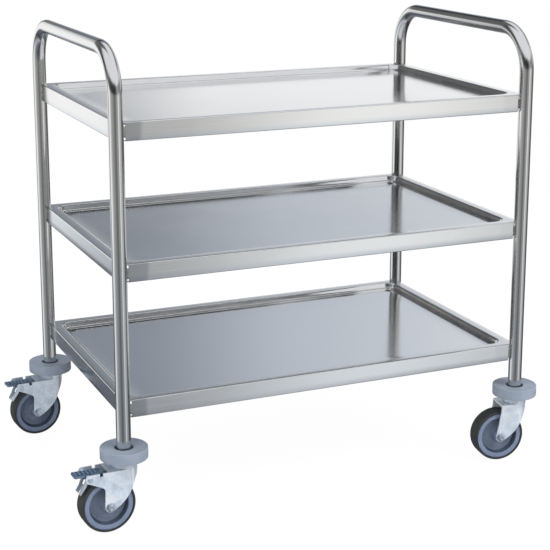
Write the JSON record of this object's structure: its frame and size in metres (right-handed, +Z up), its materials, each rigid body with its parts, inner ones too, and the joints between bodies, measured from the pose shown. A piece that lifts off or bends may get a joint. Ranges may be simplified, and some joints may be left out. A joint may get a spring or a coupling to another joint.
{
  "type": "food service trolley",
  "caption": "Stainless steel service trolley: tray shelves welded between two bent tube end frames with handles, on swivel castors with bumpers and foot brakes.",
  "frame": {"origin": "on the floor, under the middle of the box that the whole trolley fills as it stands in the picture", "axes": "+X along the trolley from the braked end to the plain end, +Y across it away from the side that faces the viewer, +Z up"},
  "size_m": [0.9757, 0.5974, 0.854],
  "materials": {
    "stainless_tube": "polished",
    "stainless_sheet": "satin",
    "weld_steel": "ground weld",
    "zinc_steel": "bright zinc plated",
    "ball_steel": "polished",
    "bumper_plastic": "smooth moulded",
    "wheel_plastic": "moulded",
    "tyre_rubber": "matt rubber",
    "pedal_plastic": "moulded",
    "expander_rubber": "matt rubber"
  },
  "bodies": {
    "frame": {"hoop_left": "stainless_tube", "hoop_right": "stainless_tube", "shelf_top": "stainless_sheet", "shelf_middle": "stainless_sheet", "shelf_bottom": "stainless_sheet", "welds_top": "weld_steel", "welds_middle": "weld_steel", "welds_bottom": "weld_steel", "bumper_front_left": "bumper_plastic", "bumper_back_left": "bumper_plastic", "bumper_front_right": "bumper_plastic", "bumper_back_right": "bumper_plastic", "stem_front_left": "zinc_steel", "stem_back_left": "zinc_steel", "stem_front_right": "zinc_steel", "stem_back_right": "zinc_steel", "expander_front_left": "expander_rubber", "expander_back_left": "expander_rubber", "expander_front_right": "expander_rubber", "expander_back_right": "expander_rubber", "race_front_left": "zinc_steel", "race_back_left": "zinc_steel", "race_front_right": "zinc_steel", "race_back_right": "zinc_steel"},
    "swivel_front_left": {"fork_front_left": "zinc_steel", "balls_front_left": "ball_steel", "axle_front_left": "zinc_steel", "nut_front_left": "zinc_steel", "sleeve_front_left": "zinc_steel", "brake_pin_front_left": "zinc_steel"},
    "roller_front_left": {"wheel_front_left": "wheel_plastic", "tyre_front_left": "tyre_rubber"},
    "brake_front_left": {"pedal_front_left": "pedal_plastic", "shoe_front_left": "zinc_steel"},
    "swivel_back_left": {"fork_back_left": "zinc_steel", "balls_back_left": "ball_steel", "axle_back_left": "zinc_steel", "nut_back_left": "zinc_steel", "sleeve_back_left": "zinc_steel", "brake_pin_back_left": "zinc_steel"},
    "roller_back_left": {"wheel_back_left": "wheel_plastic", "tyre_back_left": "tyre_rubber"},
    "brake_back_left": {"pedal_back_left": "pedal_plastic", "shoe_back_left": "zinc_steel"},
    "swivel_front_right": {"fork_front_right": "zinc_steel", "balls_front_right": "ball_steel", "axle_front_right": "zinc_steel", "nut_front_right": "zinc_steel", "sleeve_front_right": "zinc_steel"},
    "roller_front_right": {"wheel_front_right": "wheel_plastic", "tyre_front_right": "tyre_rubber"},
    "swivel_back_right": {"fork_back_right": "zinc_steel", "balls_back_right": "ball_steel", "axle_back_right": "zinc_steel", "nut_back_right": "zinc_steel", "sleeve_back_right": "zinc_steel"},
    "roller_back_right": {"wheel_back_right": "wheel_plastic", "tyre_back_right": "tyre_rubber"}
  },
  "joints": [
    {"name": "swivel_front_left", "type": "hinge", "parent": "frame", "child": "swivel_front_left", "pos_m": [-0.39227, -0.2562, 0.115], "axis": [0, 0, 1], "continuous": true},
    {"name": "roll_front_left", "type": "hinge", "parent": "swivel_front_left", "child": "roller_front_left", "pos_m": [-0.42722, -0.25803, 0.05], "axis": [0.0523, -0.9986, 0], "continuous": true},
    {"name": "brake_front_left", "type": "hinge", "parent": "swivel_front_left", "child": "brake_front_left", "pos_m": [-0.46268, -0.25989, 0.1075], "axis": [0.0523, -0.9986, 0], "range_deg": [0, 10.5]},
    {"name": "swivel_back_left", "type": "hinge", "parent": "frame", "child": "swivel_back_left", "pos_m": [-0.39227, 0.2438, 0.115], "axis": [0, 0, 1], "continuous": true},
    {"name": "roll_back_left", "type": "hinge", "parent": "swivel_back_left", "child": "roller_back_left", "pos_m": [-0.42719, 0.24136, 0.05], "axis": [0.0698, -0.9976, 0], "continuous": true},
    {"name": "brake_back_left", "type": "hinge", "parent": "swivel_back_left", "child": "brake_back_left", "pos_m": [-0.4626, 0.23889, 0.1075], "axis": [0.0698, -0.9976, 0], "range_deg": [0, 10.5]},
    {"name": "swivel_front_right", "type": "hinge", "parent": "frame", "child": "swivel_front_right", "pos_m": [0.40773, -0.2562, 0.115], "axis": [0, 0, 1], "continuous": true},
    {"name": "roll_front_right", "type": "hinge", "parent": "swivel_front_right", "child": "roller_front_right", "pos_m": [0.37307, -0.25133, 0.05], "axis": [-0.1392, -0.9903, 0], "continuous": true},
    {"name": "swivel_back_right", "type": "hinge", "parent": "frame", "child": "swivel_back_right", "pos_m": [0.40773, 0.2438, 0.115], "axis": [0, 0, 1], "continuous": true},
    {"name": "roll_back_right", "type": "hinge", "parent": "swivel_back_right", "child": "roller_back_right", "pos_m": [0.43804, 0.2613, 0.05], "axis": [-0.5, 0.866, 0], "continuous": true}
  ]
}
